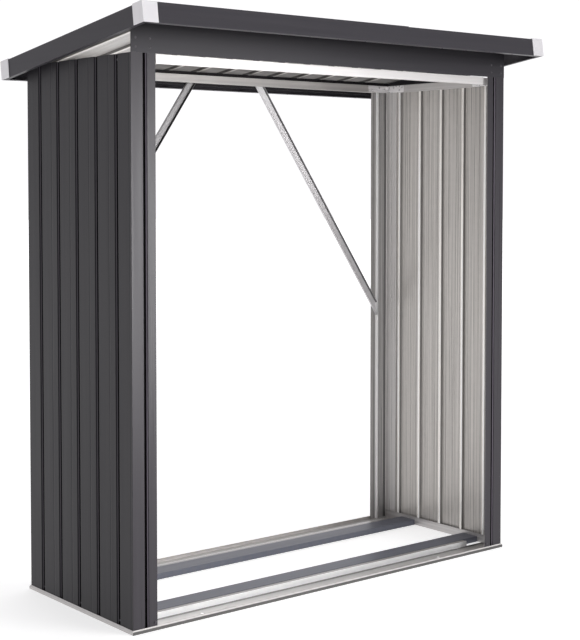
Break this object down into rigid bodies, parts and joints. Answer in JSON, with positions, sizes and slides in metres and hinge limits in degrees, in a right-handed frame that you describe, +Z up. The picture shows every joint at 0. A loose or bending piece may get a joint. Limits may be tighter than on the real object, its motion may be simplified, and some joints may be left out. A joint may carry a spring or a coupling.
{
  "type": "log store",
  "caption": "Open-fronted log store of folded corrugated steel, with a low galvanised base, open back with slanting braces and a single-pitch roof with white corner caps.",
  "frame": {"origin": "on the ground, under the middle of the store measured over its roof", "axes": "+Z up, the open front faces -Y, +X is right as seen from the front"},
  "size_m": [1.426, 0.7122, 1.5515],
  "materials": {
    "galvanised_steel": "galvanised sheet, faintly streaked",
    "blue_grey_paint": "satin paint",
    "dark_paint": "satin dark grey paint outside",
    "wall_paint": "satin dark grey paint outside, galvanised inside",
    "white_plastic": "moulded, satin"
  },
  "bodies": {
    "root": {"base_rail_front": "galvanised_steel", "base_rail_back": "galvanised_steel", "base_rail_left": "galvanised_steel", "base_rail_right": "galvanised_steel", "top_rail_front": "galvanised_steel", "top_rail_back": "galvanised_steel", "top_rail_left": "galvanised_steel", "top_rail_right": "galvanised_steel", "bracket_front_left": "galvanised_steel", "bracket_front_right": "galvanised_steel", "bracket_back_left": "galvanised_steel", "bracket_back_right": "galvanised_steel", "brace_left": "galvanised_steel", "brace_right": "galvanised_steel", "log_rest_front": "blue_grey_paint", "log_rest_back": "blue_grey_paint", "post_front_left": "dark_paint", "post_front_right": "dark_paint", "post_back_left": "dark_paint", "post_back_right": "dark_paint", "header_front": "dark_paint", "header_back": "dark_paint", "roof_sheet_left": "dark_paint", "roof_sheet_right": "dark_paint", "trim_front_left": "dark_paint", "trim_front_right": "dark_paint", "trim_back_left": "dark_paint", "trim_back_right": "dark_paint", "trim_side_left": "dark_paint", "trim_side_right": "dark_paint", "side_wall_left": "wall_paint", "side_wall_right": "wall_paint", "cap_front_left": "white_plastic", "cap_front_right": "white_plastic", "cap_back_left": "white_plastic", "cap_back_right": "white_plastic"}
  },
  "joints": []
}
